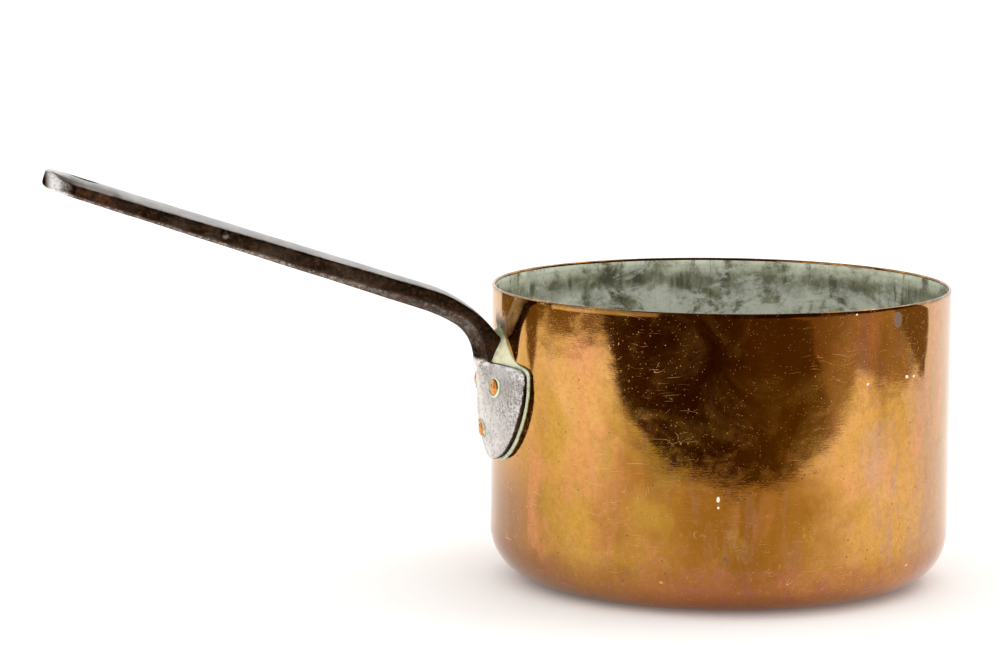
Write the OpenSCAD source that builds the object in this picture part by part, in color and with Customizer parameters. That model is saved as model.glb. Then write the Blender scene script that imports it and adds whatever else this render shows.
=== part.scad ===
// Copper saucepan with a tinned inside and a forged iron handle held by three copper rivets.
// Origin: centre of the underside of the base. +Z is up and the handle points along -X.
// In the handle's own plane, u is the distance from the pan's axis towards the handle.

/* [Pan] */
// Outer radius of the pan
pan_r = 100; // [85:1:120]
// Height of the pan, from the base to the rim
pan_h = 128.5; // [125:0.5:150]
// Radius of the rounded corner between the base and the wall
corner_r = 22.6; // [15:0.1:30]
// Thickness of the copper
copper_t = 1.4; // [1:0.1:3]
// Thickness of the tin coat inside
tin_t = 0.25; // [0.2:0.05:0.5]

/* [Handle bar] */
// Rise of the bar above the horizontal, in degrees
bar_slope = 18.4; // [14:0.1:22]
// Distance of the bar's start from the wall of the pan
bar_start = 40; // [38:1:44]
// Height of the bar's centre line at its start
bar_z = 129.1; // [127:0.1:132]
// Length of the straight bar
bar_len = 164.8; // [120:0.1:200]
// Thickness of the bar at its start
bar_t_neck = 10.6; // [9:0.1:12]
// Thickness of the bar at its tip
bar_t_tip = 8.2; // [7:0.1:9]
// Width of the bar at the neck
bar_w_neck = 17; // [14:0.5:20]
// Width of the bar at the rounded eye end
bar_w_eye = 25; // [22:0.5:30]
// Radius of the crown across the top of the bar
crown_r = 24; // [20:1:40]

/* [Hanging eye] */
// Radius of the hole
eye_r = 6; // [4:0.5:7]
// Distance of the hole's centre from the tip
eye_inset = 16.5; // [14:0.5:20]

/* [Neck] */
// Distance before the bar's start at which both sides begin to bend
bend_lead = 7.5; // [6:0.5:9]
// Bend radius on the side that faces the pan
inner_bend_r = 57; // [50:1:62]
// Turn of that side before it runs straight to the wall, in degrees
inner_turn = 36; // [33:1:38]
// First, slow bend radius on the outer side
outer_bend_r = 70; // [65:1:75]
// Turn of the slow bend, in degrees
outer_turn = 13; // [12:1:14]
// Radius of the quick bend that turns the outer side down into the flange
elbow_r = 20; // [19:0.5:21]
// Gap between the neck and the wall above the flange
neck_gap = 1.2; // [0.8:0.1:2]

/* [Flange] */
// Radius of each side of the shield outline
shield_r = 35; // [32:0.5:38]
// Distance of each side's centre past the middle, which makes the lower end pointed
shield_point = 1.5; // [0.5:0.5:4]
// Height of the shield's widest place
shield_z = 90; // [87:0.5:92]
// Height of the shield's flat upper edge
shield_top = 98.6; // [97:0.1:101]
// Radius of its upper corners
shoulder_r = 6.5; // [4:0.5:8]
// Radius of the dome of the outer face
dome_r = 72; // [68:1:80]
// Thickness of the flange at the top of the dome
dome_t = 7.3; // [7:0.1:8]
// Height of the top of the dome
dome_z = 81; // [79:0.5:83]

/* [Rivets] */
// Radius of the shanks
shank_r = 2.6; // [2:0.1:3]
// Radius of the domed outer heads
head_r = 3.6; // [3:0.1:4.5]
// Height of the domed outer heads
head_h = 1.4; // [1:0.1:2]
// Radius of the flattened inner heads
tail_r = 4.6; // [4:0.1:5.5]
// Height of the flattened inner heads
tail_h = 1; // [0.8:0.1:1.5]
// Angle of the upper rivets to either side of the handle, in degrees
upper_angle = 7.45; // [6:0.05:9]
// Height of the upper rivets
upper_z = 88.5; // [86:0.1:91]
// Height of the lower rivet
lower_z = 69.2; // [67:0.1:72]

/* [Hidden] */
$fn = 96;

copper = "#b87333";
tin = "#9aa08c";
iron = "#6b6866";

past = 1;                        // how far a cutting shape runs past what it cuts
arc_steps = 12;                  // straight steps in each bend of the neck
lined_r = pan_r - copper_t;      // inside of the copper
bare_r = lined_r - tin_t;        // inside of the tin
bar_u = pan_r + bar_start;       // where the bar's centre line starts
bar_taper = atan((bar_t_neck - bar_t_tip) / 2 / bar_len);
eye_s = bar_len - eye_inset;     // the hole's place along the bar
elbow_turn = 90 - bar_slope - outer_turn;
dome_u = pan_r + dome_t - dome_r;
shoulder_y = shield_r - shield_point - shoulder_r;
flange_reach = pan_r + dome_t + past;

// Right half of a vessel's section: a flat base, a rounded corner and a straight wall.
module vessel_half(r, h, corner) {
    difference() {
        square([r, h]);
        translate([r - corner, 0]) square(corner);
    }
    intersection() {
        translate([r - corner, corner]) circle(corner);
        square([r, h]);
    }
}

// A round shell that is open at the top, t thick, with its underside at the height z0.
module shell(r, corner, t, z0) {
    height = pan_h - z0;
    rotate_extrude()
        translate([0, z0])
            difference() {
                vessel_half(r, height, corner);
                translate([0, t]) vessel_half(r - t, height, corner - t);
            }
}

// Points of an arc from angle a0 to angle a1, about the point c.
function arc(c, r, a0, a1) =
    [for (i = [0 : arc_steps]) let (a = a0 + (a1 - a0) * i / arc_steps) c + r * [cos(a), sin(a)]];

// A point in the bar's own axes, s along the bar from its start and n across it and upwards,
// as u and z.
function to_plane(q) = [
    bar_u + q[0] * cos(bar_slope) - q[1] * sin(bar_slope),
    bar_z + q[0] * sin(bar_slope) + q[1] * cos(bar_slope)
];

// The two sides of the neck, in the bar's axes, each from the bar down to the flange.
inner_side = arc([-bend_lead, bar_t_neck / 2 - inner_bend_r], inner_bend_r, 90, 90 + inner_turn);
slow_centre = [-bend_lead, -bar_t_neck / 2 - outer_bend_r];
slow_side = arc(slow_centre, outer_bend_r, 90, 90 + outer_turn);
elbow_centre = slow_centre
    + (outer_bend_r - elbow_r) * [cos(90 + outer_turn), sin(90 + outer_turn)];
elbow_side = arc(elbow_centre, elbow_r, 90 + outer_turn, 90 + outer_turn + elbow_turn);

// Outline of the bar and neck in the handle's own plane, as u and z.
inner_end = to_plane(inner_side[arc_steps]);
gap_u = pan_r + neck_gap;
gap_z = inner_end[1] - (inner_end[0] - gap_u) * tan(bar_slope + inner_turn);
bar_outline = concat(
    [to_plane([bar_len, bar_t_tip / 2])],
    [for (q = inner_side) to_plane(q)],
    [[gap_u, gap_z], [gap_u, dome_z], [pan_r + dome_t - past, dome_z]],
    [for (i = [arc_steps : -1 : 0]) to_plane(elbow_side[i])],
    [for (i = [arc_steps - 1 : -1 : 0]) to_plane(slow_side[i])],
    [to_plane([bar_len, -bar_t_tip / 2])]
);

// Turns a shape drawn in u and z, and extruded across the handle, into place.
module in_handle_plane() {
    mirror([1, 0, 0])
        rotate([90, 0, 0])
            children();
}

// Puts a shape drawn in the bar's axes into place: x along the bar, y across it, z upwards.
module on_bar() {
    mirror([1, 0, 0])
        translate([bar_u, 0, bar_z])
            rotate([0, -bar_slope, 0])
                children();
}

// The bar seen along n: a taper that widens to the round eye end.
module bar_plan() {
    eye_w = bar_w_eye / 2;
    polygon([
        [-bar_u, -bar_w_neck / 2],
        [0, -bar_w_neck / 2],
        [bar_len - eye_w, -eye_w],
        [bar_len - eye_w, eye_w],
        [0, bar_w_neck / 2],
        [-bar_u, bar_w_neck / 2]
    ]);
    translate([bar_len - eye_w, 0]) circle(eye_w);
}

module bar() {
    intersection() {
        in_handle_plane()
            linear_extrude(bar_w_eye + 2 * past, center = true)
                polygon(bar_outline);
        on_bar()
            linear_extrude(2 * bar_u, center = true)
                bar_plan();
        // The crown: a long round bar that touches the top of the bar along its middle.
        on_bar()
            translate([0, 0, bar_t_neck / 2])
                rotate([0, 90 + bar_taper, 0])
                    translate([crown_r, 0, -bar_u])
                        cylinder(h = 2 * bar_u + bar_len, r = crown_r);
    }
}

// The shield outline of the flange, as y and z.
module shield() {
    intersection() {
        translate([-shield_point, shield_z]) circle(shield_r);
        translate([shield_point, shield_z]) circle(shield_r);
        union() {
            translate([-shield_r, 0]) square([2 * shield_r, shield_top - shoulder_r]);
            translate([-shoulder_y, 0]) square([2 * shoulder_y, shield_top]);
            for (side = [-1, 1])
                translate([side * shoulder_y, shield_top - shoulder_r]) circle(shoulder_r);
        }
    }
}

module dome() {
    translate([-dome_u, 0, dome_z]) sphere(dome_r);
}

module flange() {
    intersection() {
        rotate([90, 0, -90])
            linear_extrude(flange_reach)
                shield();
        dome();
    }
}

// Draws a shape along the handle's side of the pan's radius, turned by an angle and at a height.
module radially(angle, z) {
    rotate([0, 0, angle])
        translate([0, 0, z])
            rotate([0, -90, 0])
                children();
}

module shank_hole(angle, z) {
    radially(angle, z)
        translate([0, 0, bare_r - past])
            cylinder(h = flange_reach - bare_r + past, r = shank_r);
}

module shank_holes() {
    shank_hole(upper_angle, upper_z);
    shank_hole(-upper_angle, upper_z);
    shank_hole(0, lower_z);
}

// Distance from the pan's axis to the dome, along a radius at an angle and a height.
function face_r(angle, z) =
    dome_u * cos(angle) + sqrt(pow(dome_r, 2) - pow(z - dome_z, 2) - pow(dome_u * sin(angle), 2));

// A rivet: its shank, its domed head on the flange and its flattened tail on the tin.
module rivet(angle, z) {
    face = face_r(angle, z);
    cap_r = (pow(head_r, 2) + pow(head_h, 2)) / (2 * head_h);
    radially(angle, z)
        translate([0, 0, bare_r - tail_h / 2])
            cylinder(h = face - bare_r + tail_h / 2 + head_h / 2, r = shank_r);
    difference() {
        radially(angle, z)
            intersection() {
                translate([0, 0, face + head_h - cap_r]) sphere(cap_r);
                translate([0, 0, face - past]) cylinder(h = head_h + 2 * past, r = head_r);
            }
        dome();
    }
    intersection() {
        radially(angle, z)
            translate([0, 0, bare_r - tail_h])
                cylinder(h = tail_h, r = tail_r);
        translate([0, 0, z - pan_h / 2]) cylinder(h = pan_h, r = bare_r);
    }
}

module pan_body() {
    color(copper)
        difference() {
            shell(pan_r, corner_r, copper_t, 0);
            shank_holes();
        }
}

module tin_lining() {
    color(tin)
        difference() {
            shell(lined_r, corner_r - copper_t, tin_t, copper_t);
            shank_holes();
        }
}

module handle() {
    color(iron)
        difference() {
            union() {
                bar();
                flange();
            }
            cylinder(h = pan_h, r = pan_r);
            shank_holes();
            on_bar()
                translate([eye_s, 0, -bar_t_neck])
                    cylinder(h = 2 * bar_t_neck, r = eye_r);
        }
}

module rivet_upper_left() {
    color(copper) rivet(-upper_angle, upper_z);
}

module rivet_upper_right() {
    color(copper) rivet(upper_angle, upper_z);
}

module rivet_lower() {
    color(copper) rivet(0, lower_z);
}

pan_body();
tin_lining();
handle();
rivet_upper_left();
rivet_upper_right();
rivet_lower();
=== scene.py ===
"""A worn copper saucepan: spun copper body, oxidised tin inside, forged iron handle, three rivets and the
verdigris that has grown round them. Metres, +Z up, pan's axis on Z, handle along -X."""
import math

import bmesh
import bpy
from mathutils import Matrix, Vector, noise


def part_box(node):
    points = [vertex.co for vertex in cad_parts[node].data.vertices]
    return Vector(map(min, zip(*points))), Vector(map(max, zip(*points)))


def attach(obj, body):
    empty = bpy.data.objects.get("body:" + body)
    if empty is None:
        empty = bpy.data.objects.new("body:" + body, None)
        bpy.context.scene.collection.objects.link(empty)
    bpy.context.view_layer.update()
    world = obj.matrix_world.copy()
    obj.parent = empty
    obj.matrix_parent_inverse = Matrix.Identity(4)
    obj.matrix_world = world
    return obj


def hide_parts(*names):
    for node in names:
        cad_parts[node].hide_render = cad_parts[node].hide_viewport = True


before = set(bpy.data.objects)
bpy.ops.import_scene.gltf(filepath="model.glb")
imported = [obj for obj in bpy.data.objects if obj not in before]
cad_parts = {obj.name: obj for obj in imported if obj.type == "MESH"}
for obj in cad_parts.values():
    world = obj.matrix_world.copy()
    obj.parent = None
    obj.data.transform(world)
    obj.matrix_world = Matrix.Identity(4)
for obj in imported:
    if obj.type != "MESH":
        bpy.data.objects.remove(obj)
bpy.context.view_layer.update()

MM = 0.001

# Pan
PAN_LOW, PAN_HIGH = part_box("pan_body")
PAN_R = PAN_HIGH.x
PAN_H = PAN_HIGH.z
CORNER_R = 22.6 * MM
COPPER_T = 1.4 * MM
TIN_T = 0.25 * MM
LINED_R = PAN_R - COPPER_T

# Handle bar, in its own plane: u is the distance from the pan's axis, z the height
BAR_SLOPE = math.radians(18.4)
BAR_U = PAN_R + 40 * MM
BAR_Z = 129.1 * MM
BAR_LEN = 164.8 * MM
BAR_T_NECK, BAR_T_TIP = 10.6 * MM, 8.2 * MM
BAR_W_NECK, BAR_W_EYE = 17 * MM, 25 * MM
CROWN_R = 24 * MM
EYE_R, EYE_INSET = 6 * MM, 16.5 * MM

# A small blister left by the forge on the bar's side: distance along the bar, size and height
BLISTER_S, BLISTER_R, BLISTER_H = 86.4 * MM, 1.7 * MM, 0.6 * MM

# Neck
BEND_LEAD = 7.5 * MM
INNER_BEND_R, INNER_TURN = 57 * MM, math.radians(36)
OUTER_BEND_R, OUTER_TURN = 70 * MM, math.radians(13)
ELBOW_R = 20 * MM
ELBOW_TURN = math.pi / 2 - BAR_SLOPE - OUTER_TURN
NECK_GAP = 1.2 * MM

# Flange
SHIELD_R, SHIELD_POINT, SHIELD_Z = 35 * MM, 1.5 * MM, 90 * MM
SHIELD_TOP = 98.6 * MM
DOME_R, DOME_Z = 72 * MM, 81 * MM
DOME_U = PAN_R + 7.3 * MM - DOME_R

# One degree round the wall, as a length
WALL_DEG = math.radians(1) * PAN_R

# Rivets: the angle from the handle towards -Y, and the height
SHANK_R = 2.6 * MM
HEAD_R, HEAD_H = 3.6 * MM, 1.4 * MM
TAIL_R, TAIL_H = 4.6 * MM, 1 * MM
RIVETS = {
    "rivet_upper_left": (math.radians(-7.45), 88.5 * MM),
    "rivet_upper_right": (math.radians(7.45), 88.5 * MM),
    "rivet_lower": (0.0, 69.2 * MM),
}

# The camera's place is given in a frame turned about Z, whose Y axis points away from the viewer.
# Its lens (mm), place (m) and angles (radians) are a least-squares fit's results.
VIEW_TURN = math.radians(-15.5)
CAMERA_LENS = 144.76
CAMERA_PLACE = (-0.09587, -1.73792, 0.34380)
CAMERA_PITCH, CAMERA_YAW, CAMERA_ROLL = -0.1359, 0.0002, -0.0069


# ---------------------------------------------------------------- meshes

def new_piece(name, verts, faces, material=None, smooth=True):
    """A mesh object from points and faces, with its faces turned outwards."""
    mesh = bpy.data.meshes.new(name)
    mesh.from_pydata([tuple(v) for v in verts], [], faces)
    bm = bmesh.new()
    bm.from_mesh(mesh)
    bmesh.ops.remove_doubles(bm, verts=bm.verts, dist=1e-7)
    bmesh.ops.recalc_face_normals(bm, faces=bm.faces)
    bm.to_mesh(mesh)
    bm.free()
    mesh.polygons.foreach_set("use_smooth", [smooth] * len(mesh.polygons))
    if material is not None:
        mesh.materials.append(material)
    piece = bpy.data.objects.new(name, mesh)
    bpy.context.scene.collection.objects.link(piece)
    return piece


def apply_modifier(piece, kind, **settings):
    """Adds a modifier, sets it and applies it to the mesh."""
    mod = piece.modifiers.new(kind, kind)
    for key, value in settings.items():
        setattr(mod, key, value)
    depsgraph = bpy.context.evaluated_depsgraph_get()
    mesh = bpy.data.meshes.new_from_object(piece.evaluated_get(depsgraph))
    piece.modifiers.clear()
    piece.data = mesh


def lathe(profile, steps):
    """Verts and faces of a closed profile (r, z) turned about Z. Points on the axis are shared."""
    verts, faces, rings = [], [], []
    for r, z in profile:
        if r < 1e-9:
            rings.append([len(verts)] * steps)
            verts.append(Vector((0, 0, z)))
        else:
            rings.append(list(range(len(verts), len(verts) + steps)))
            verts += [
                Vector((r * math.cos(a), r * math.sin(a), z))
                for a in (math.tau * i / steps for i in range(steps))
            ]
    for low, high in zip(rings, rings[1:]):
        for i in range(steps):
            j = (i + 1) % steps
            face = list(dict.fromkeys([low[i], low[j], high[j], high[i]]))
            if len(face) > 2:
                faces.append(face)
    return verts, faces


def arc(cx, cy, r, start, end, steps):
    """Points of an arc about (cx, cy) between two angles in degrees."""
    return [
        (cx + r * math.cos(math.radians(a)), cy + r * math.sin(math.radians(a)))
        for a in (start + (end - start) * i / steps for i in range(steps + 1))
    ]


def line(start, end, steps):
    """Points along a line, without its first point."""
    return [
        (start[0] + (end[0] - start[0]) * i / steps, start[1] + (end[1] - start[1]) * i / steps)
        for i in range(1, steps + 1)
    ]


def tilted(degrees):
    """Rotation angles of a tilt within the wall's flat map."""
    return (0, 0, math.radians(degrees))


def clamped(value):
    """A value kept between 0 and 1."""
    return min(1.0, max(0.0, value))


def at_radius(r, y, z):
    """A point on the handle's side at a distance r from the pan's axis."""
    return Vector((-math.sqrt(max(r ** 2 - y ** 2, 0)), y, z))


def ring_noise(angle, seed, scale):
    """Noise that closes on itself round a ring."""
    return noise.noise(Vector((math.cos(angle), math.sin(angle), seed)) * scale)


def to_plane(s, n):
    """From the bar's axes, s along it and n across it, to u and z."""
    return (
        BAR_U + s * math.cos(BAR_SLOPE) - n * math.sin(BAR_SLOPE),
        BAR_Z + s * math.sin(BAR_SLOPE) + n * math.cos(BAR_SLOPE),
    )


# ---------------------------------------------------------------- materials

class Graph:
    """Short calls for building one node material."""

    def __init__(self, name, **uniform):
        self.material = bpy.data.materials.new(name)
        self.material.use_nodes = True
        self.tree = self.material.node_tree
        self.shader = self.tree.nodes["Principled BSDF"]
        for key, value in uniform.items():
            self.shader.inputs[key.replace("_", " ")].default_value = value
        self.place = self.node("ShaderNodeTexCoord").outputs["Object"]

    def node(self, kind, **attributes):
        made = self.tree.nodes.new(kind)
        for key, value in attributes.items():
            setattr(made, key, value)
        return made

    def join(self, value, socket):
        """Links a socket, or sets a plain value."""
        if isinstance(value, bpy.types.NodeSocket):
            self.tree.links.new(value, socket)
        else:
            socket.default_value = value

    def math(self, operation, a, b=0.0, clamp=False):
        made = self.node("ShaderNodeMath", operation=operation, use_clamp=clamp)
        self.join(a, made.inputs[0])
        self.join(b, made.inputs[1])
        return made.outputs[0]

    def times(self, a, b):
        return self.math("MULTIPLY", a, b)

    def plus(self, a, b, clamp=False):
        return self.math("ADD", a, b, clamp)

    def minus(self, a, b, clamp=False):
        return self.math("SUBTRACT", a, b, clamp)

    def larger(self, a, b):
        return self.math("MAXIMUM", a, b)

    def unsigned(self, a):
        return self.math("ABSOLUTE", a)

    def split(self, vector):
        made = self.node("ShaderNodeSeparateXYZ")
        self.join(vector, made.inputs[0])
        return made.outputs

    def combine(self, x, y, z):
        made = self.node("ShaderNodeCombineXYZ")
        for value, socket in zip((x, y, z), made.inputs):
            self.join(value, socket)
        return made.outputs[0]

    def stretch(self, vector, scale, turn=(0, 0, 0)):
        made = self.node("ShaderNodeMapping")
        self.join(vector, made.inputs["Vector"])
        made.inputs["Scale"].default_value = scale
        made.inputs["Rotation"].default_value = turn
        return made.outputs[0]

    def noise(self, scale, detail=4, rough=0.55, warp=0.0, at=None):
        made = self.node("ShaderNodeTexNoise")
        self.join(self.place if at is None else at, made.inputs["Vector"])
        made.inputs["Scale"].default_value = scale
        made.inputs["Detail"].default_value = detail
        made.inputs["Roughness"].default_value = rough
        made.inputs["Distortion"].default_value = warp
        return made.outputs["Fac"]

    def cells(self, scale, at=None, randomness=1.0):
        """Voronoi distance to the nearest point, and that cell's random colour."""
        made = self.node("ShaderNodeTexVoronoi")
        self.join(self.place if at is None else at, made.inputs["Vector"])
        made.inputs["Scale"].default_value = scale
        made.inputs["Randomness"].default_value = randomness
        return made.outputs["Distance"], made.outputs["Color"]

    def band(self, value, low, high):
        """0 below low, 1 above high, smooth between. low may be above high."""
        made = self.node("ShaderNodeMapRange", interpolation_type="SMOOTHSTEP")
        self.join(value, made.inputs["Value"])
        made.inputs["From Min"].default_value = min(low, high)
        made.inputs["From Max"].default_value = max(low, high)
        made.inputs["To Min"].default_value = 0.0 if low < high else 1.0
        made.inputs["To Max"].default_value = 1.0 if low < high else 0.0
        return made.outputs["Result"]

    def sector(self, round_wall, start, end):
        """A band between two angles round the wall, in degrees."""
        return self.band(round_wall, WALL_DEG * start, WALL_DEG * end)

    def mix(self, factor, a, b):
        made = self.node("ShaderNodeMix", data_type="RGBA")
        self.join(factor, made.inputs["Factor"])
        for value, socket in ((a, made.inputs[6]), (b, made.inputs[7])):
            self.join((*value, 1.0) if isinstance(value, tuple) else value, socket)
        return made.outputs[2]

    def tint(self, base, mask, share, colour):
        """A colour with a share of another laid over it where the mask is."""
        return self.mix(self.times(mask, share), base, colour)

    def blend(self, factor, a, b):
        """A number between a and b."""
        made = self.node("ShaderNodeMix", data_type="FLOAT")
        self.join(factor, made.inputs["Factor"])
        self.join(a, made.inputs[2])
        self.join(b, made.inputs[3])
        return made.outputs[0]

    def ramp(self, value, *stops):
        """A colour ramp through (position, colour) stops."""
        made = self.node("ShaderNodeValToRGB")
        self.join(value, made.inputs["Fac"])
        elements = made.color_ramp.elements
        while len(elements) < len(stops):
            elements.new(0.5)
        for element, (position, colour) in zip(elements, stops):
            element.position = position
            element.color = (*colour, 1.0)
        return made.outputs["Color"]

    def bumps(self, *layers):
        """Stacked bumps, each a height socket and its depth in metres."""
        normal = None
        for height, depth in layers:
            made = self.node("ShaderNodeBump")
            made.inputs["Strength"].default_value = 1.0
            made.inputs["Distance"].default_value = depth
            self.join(height, made.inputs["Height"])
            if normal is not None:
                self.join(normal, made.inputs["Normal"])
            normal = made.outputs["Normal"]
        self.join(normal, self.shader.inputs["Normal"])

    def surface(self, **sockets):
        for key, value in sockets.items():
            self.join(value, self.shader.inputs[key.replace("_", " ")])
        return self.material

    def wall_place(self):
        """Distance round the pan from the handle's side, and height, as a flat place on the wall."""
        x, y, z = self.split(self.place)
        angle = self.math("ARCTAN2", self.times(y, -1.0), self.times(x, -1.0))
        return self.times(angle, PAN_R), z

    def seam(self, round_wall):
        """0 on the line opposite the handle, where distances round the wall jump, and 1 away from it."""
        return self.sector(self.unsigned(round_wall), 179, 162)

    def spot(self, round_wall, height, degrees, z, size, stretch_z=1.0, ragged=0.5, wobble=None,
             soft=0.8):
        """1 inside a ragged spot on the wall, 0 outside."""
        across = self.minus(round_wall, math.radians(degrees) * PAN_R)
        up = self.math("DIVIDE", self.minus(height, z), stretch_z)
        reach = self.math("SQRT", self.plus(self.math("POWER", self.unsigned(across), 2.0),
                                            self.math("POWER", self.unsigned(up), 2.0)))
        if wobble is not None:
            shift = self.times(self.minus(wobble, 0.5), size * ragged * 2)
            reach = self.plus(reach, shift)
        return self.band(reach, size, size * soft)


def copper_tones(g, around, height, turn):
    """Gold at the sides and browner in front, where the wall faces the camera: partly tarnish, partly painted
    reflection. Darker towards the bottom in front, with a painted dark reflection low near the handle. Gives
    the colour, and where the front is.
    """
    broad = g.noise(24, 4, 0.55, 0.9, at=g.stretch(g.place, (1.0, 1.0, 0.6)))
    gold = g.ramp(broad, (0.34, (0.46, 0.225, 0.036)), (0.50, (0.61, 0.315, 0.072)),
                  (0.66, (0.69, 0.365, 0.115)))
    brown = g.ramp(broad, (0.34, (0.215, 0.072, 0.005)), (0.50, (0.28, 0.106, 0.009)),
                   (0.66, (0.36, 0.146, 0.024)))
    # Browner where the wall faces the camera: partly tarnish, partly painted reflection.
    front = g.times(g.sector(turn, 38, 62), g.sector(turn, 112, 90))
    colour = g.mix(front, gold, brown)
    right = g.times(g.sector(turn, 118, 140), 0.75)
    colour = g.mix(g.times(right, g.seam(around)), colour, (0.44, 0.245, 0.130))
    # Painted reflection: the lower wall near the handle is darkened as if it mirrored the dark studio.
    left = g.times(g.sector(around, 30, 8), g.band(height, 0.070, 0.035))
    left = g.times(left, g.seam(around))
    colour = g.tint(colour, left, 0.85, (0.27, 0.125, 0.060))
    lower = g.times(g.band(height, 0.078, 0.030), g.blend(g.sector(turn, 85, 105), 0.38, 0.10))
    colour = g.mix(lower, colour, (0.25, 0.105, 0.012))
    return colour, front


def copper_tints(g, wall, around, front, shown, colour):
    """Olive, pink and violet heat tints in slanting streaks."""
    slanted = g.stretch(wall, (1.0, 0.42, 1.0), tilted(-30))
    olive = g.band(g.noise(30, 5, 0.62, 1.0, at=slanted), 0.55, 0.66)
    olive = g.times(olive, shown)
    colour = g.tint(colour, olive, 0.40, (0.44, 0.27, 0.028))
    pink = g.band(g.noise(31, 5, 0.65, 1.0, at=g.stretch(slanted, (1.3, 1.3, 1.0))), 0.52, 0.66)
    pink = g.times(g.times(pink, shown), g.blend(front, 0.38, 0.12))
    colour = g.mix(pink, colour, (0.72, 0.27, 0.13))
    streaked = g.stretch(wall, (1.0, 0.22, 1.0), tilted(-33))
    violet = g.band(g.noise(130, 5, 0.7, 0.8, at=streaked), 0.52, 0.66)
    violet = g.times(violet, g.blend(g.sector(around, 90, 120), 0.20, 0.85))
    violet = g.times(violet, shown)
    colour = g.tint(colour, violet, 0.62, (0.40, 0.235, 0.215))
    return colour


def copper_foot(g, around, height, colour):
    """A redder, uneven band over the rounded corner."""
    foot_height = g.plus(height, g.times(g.minus(g.noise(45, 5, 0.7), 0.5), 0.030))
    foot = g.times(g.band(foot_height, 0.026, 0.010), 0.60)
    brown, red = (0.30, 0.12, 0.05), (0.52, 0.20, 0.075)
    foot_colour = g.mix(g.sector(g.unsigned(around), 30, 60), brown, red)
    colour = g.mix(foot, colour, foot_colour)
    tints = g.times(g.band(g.noise(70, 6, 0.75, 0.8), 0.50, 0.62), g.band(foot_height, 0.030, 0.012))
    colour = g.tint(colour, tints, 0.5, (0.38, 0.13, 0.12))
    return colour


def copper_patches(g, around, height, colour):
    """Three large soft patches."""
    drift = g.noise(60, 4, 0.65)
    for degrees, z, size, tall, tint, strength in (
        (37.0, 0.031, 0.014, 1.9, (0.54, 0.33, 0.025), 0.42),
        (35.5, 0.108, 0.012, 1.2, (0.74, 0.30, 0.17), 0.50),
        (112.0, 0.060, 0.013, 2.0, (0.58, 0.34, 0.24), 0.45),
    ):
        haze = g.spot(around, height, degrees, z, size, tall, 0.9, drift, soft=0.0)
        colour = g.mix(g.times(haze, strength), colour, tint)
    return colour


def copper_mottle(g, height, colour):
    """Fine cloudiness, and a dark worn lip."""
    mottle = g.noise(330, 6, 0.8, 0.4)
    colour = g.tint(colour, g.band(mottle, 0.46, 0.62), 0.26, (0.30, 0.125, 0.030))
    colour = g.tint(colour, g.band(mottle, 0.44, 0.32), 0.26, (0.80, 0.40, 0.17))
    lip = g.band(height, PAN_H - 1.6 * MM, PAN_H - 0.9 * MM)
    lip = g.times(lip, g.band(g.noise(160, 4, 0.7), 0.36, 0.56))
    colour = g.tint(colour, lip, 0.75, (0.13, 0.085, 0.055))
    return colour


def copper_specks(g, colour):
    """Bright specks in three sizes, and dark pits."""
    speck_distance, speck_colour = g.cells(640)
    chosen = g.math("GREATER_THAN", g.split(speck_colour)[0], 0.87)
    specks = g.times(g.band(speck_distance, 0.19, 0.10), chosen)
    dense = g.band(g.noise(28, 3, 0.6), 0.40, 0.62)
    specks = g.times(specks, dense)
    tiny_distance, tiny_colour = g.cells(1500)
    tiny = g.times(g.band(tiny_distance, 0.30, 0.15), g.math("GREATER_THAN", g.split(tiny_colour)[0], 0.92))
    specks = g.larger(specks, g.times(tiny, 0.7))
    big_distance, big_colour = g.cells(210)
    big = g.times(g.band(big_distance, 0.065, 0.03), g.math("GREATER_THAN", g.split(big_colour)[0], 0.94))
    specks = g.larger(specks, big)
    pit_distance, pit_colour = g.cells(330)
    pits = g.times(g.band(pit_distance, 0.16, 0.08), g.math("GREATER_THAN", g.split(pit_colour)[1], 0.86))
    colour = g.tint(colour, pits, 0.7, (0.13, 0.06, 0.05))
    return colour, specks, pits


def copper_scratches(g, around, height, shown):
    """Short hairlines, and long bowed scratches at four tilts."""
    hairlines = []
    for scale, part in ((70, 0.62), (120, 0.63)):
        crossing = g.unsigned(g.minus(g.noise(scale, 1, 0.4, 0.6), 0.5))
        leaning = g.stretch(g.place, (1.0, 1.0, 1.3), (0.4, 0.2, 0.0))
        present = g.band(g.noise(scale * 0.8, 2, 0.5, at=leaning), part, part + 0.06)
        hairlines.append(g.times(g.band(crossing, 0.004, 0.0015), present))
    bend = g.times(g.noise(34, 2, 0.5), 0.016)
    bowed = g.combine(around, g.plus(height, bend), 0.0)
    for tilt, length in ((34, 46), (-27, 60), (9, 38), (62, 70)):
        streak = g.noise(1.0, 1, 0.4, 0.0, at=g.stretch(bowed, (length, 2600, 1), tilted(tilt)))
        hairlines.append(g.band(streak, 0.74, 0.79))
    scratches = hairlines[0]
    for other in hairlines[1:]:
        scratches = g.larger(scratches, other)
    scratches = g.times(scratches, g.band(g.noise(26, 3), 0.42, 0.60))
    scratches = g.times(scratches, shown)
    return scratches


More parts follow.
